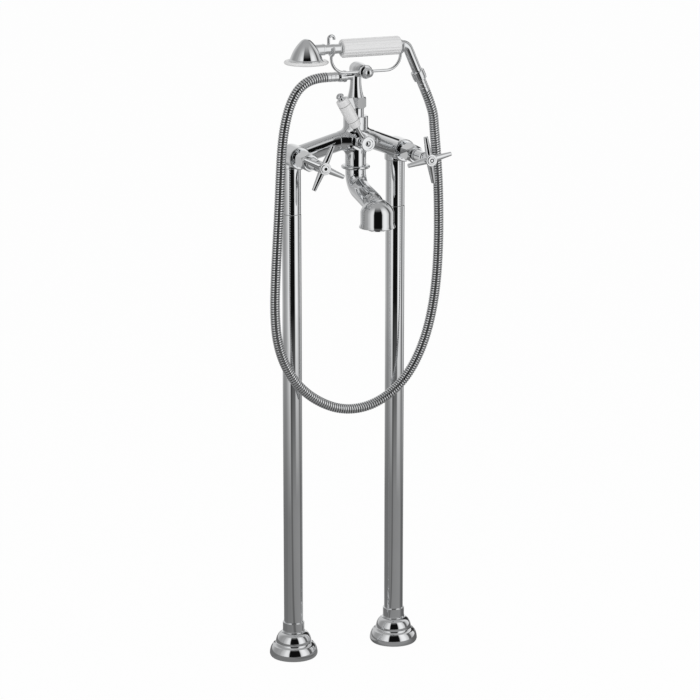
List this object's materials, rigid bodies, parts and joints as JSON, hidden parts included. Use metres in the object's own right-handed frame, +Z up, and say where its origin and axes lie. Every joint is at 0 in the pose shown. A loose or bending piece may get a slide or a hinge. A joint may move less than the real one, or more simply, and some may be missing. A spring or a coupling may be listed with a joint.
{
  "type": "floor standing bath filler",
  "caption": "floor standing bath mixer on two pipes with cross handles, swivel spout, diverter lever and a hand shower in a wire cradle on a ribbed metal hose",
  "frame": {"origin": "on the floor, midway between the axes of the two floor pipes", "axes": "+Z up, -Y is the front, towards the bath, where the spout, handles and lever point; +X is to the right as seen from the front"},
  "size_m": [0.2937, 0.1962, 1.0278],
  "materials": {
    "chrome": "polished chrome on brass",
    "hose_metal": "chromed spiral wound metal",
    "porcelain": "white glazed porcelain",
    "white_rim": "gloss white rim",
    "spray_plate": "white spray plate",
    "cartridge_ceramic": "ground ceramic",
    "brass": "turned brass",
    "plate_steel": "zinc plated steel",
    "rubber": "black rubber"
  },
  "bodies": {
    "stand": {"floor_flange_left": "chrome", "floor_flange_right": "chrome", "socket_collar_left": "chrome", "socket_collar_right": "chrome", "lower_pipe_left": "chrome", "lower_pipe_right": "chrome", "upper_pipe_left": "chrome", "upper_pipe_right": "chrome", "valve_body_left": "chrome", "valve_body_right": "chrome", "headwork_left": "chrome", "headwork_right": "chrome", "floor_plate_left": "plate_steel", "floor_plate_right": "plate_steel", "inlet_tail_left": "brass", "inlet_tail_right": "brass", "pipe_coupling_left": "brass", "pipe_coupling_right": "brass", "valve_cartridge_left": "cartridge_ceramic", "valve_cartridge_right": "cartridge_ceramic", "collar_seal_left": "rubber", "collar_seal_right": "rubber", "mixer_body": "chrome", "diverter_bonnet": "chrome", "riser_tube": "chrome", "riser_nut": "chrome", "cradle_stem": "chrome", "cradle_fork": "chrome", "cradle_knob": "chrome", "hose_nut_lower": "chrome", "hose_ferrule_lower": "chrome", "spout_ring": "chrome", "shower_hose": "hose_metal", "hose_washer_lower": "rubber"},
    "left_handle": {"cross_handle_left": "chrome", "index_button_left": "chrome", "spindle_left": "brass"},
    "right_handle": {"cross_handle_right": "chrome", "index_button_right": "chrome", "spindle_right": "brass"},
    "diverter": {"diverter_spindle": "brass", "diverter_hub": "chrome", "diverter_cap": "chrome", "lever_stem": "chrome", "lever_grip": "porcelain", "lever_finial": "chrome"},
    "spout": {"spout_pipe": "chrome", "aerator": "chrome", "spout_seal": "rubber"},
    "handset": {"rose_dome": "chrome", "rose_ring": "white_rim", "spray_face": "spray_plate", "handset_neck": "chrome", "ceramic_grip": "porcelain", "grip_end_ring": "chrome", "handset_elbow": "chrome", "hose_nut_upper": "chrome", "hose_washer_upper": "rubber", "hose_ferrule_upper": "chrome"}
  },
  "joints": [
    {"name": "left_handle_turn", "type": "hinge", "parent": "stand", "child": "left_handle", "pos_m": [-0.09, -0.06, 0.831], "axis": [0, -1, 0], "range_deg": [-180, 0]},
    {"name": "right_handle_turn", "type": "hinge", "parent": "stand", "child": "right_handle", "pos_m": [0.09, -0.06, 0.831], "axis": [0, -1, 0], "range_deg": [0, 180]},
    {"name": "diverter_turn", "type": "hinge", "parent": "stand", "child": "diverter", "pos_m": [0, -0.07, 0.857], "axis": [0, -1, 0], "range_deg": [-90, 0]},
    {"name": "spout_swivel", "type": "hinge", "parent": "stand", "child": "spout", "pos_m": [0, -0.0464, 0.8], "axis": [0, 0, 1], "range_deg": [-60, 60]},
    {"name": "handset_lift", "type": "slide", "parent": "stand", "child": "handset", "axis": [0, 0, 1], "range_m": [0, 0.03]}
  ]
}
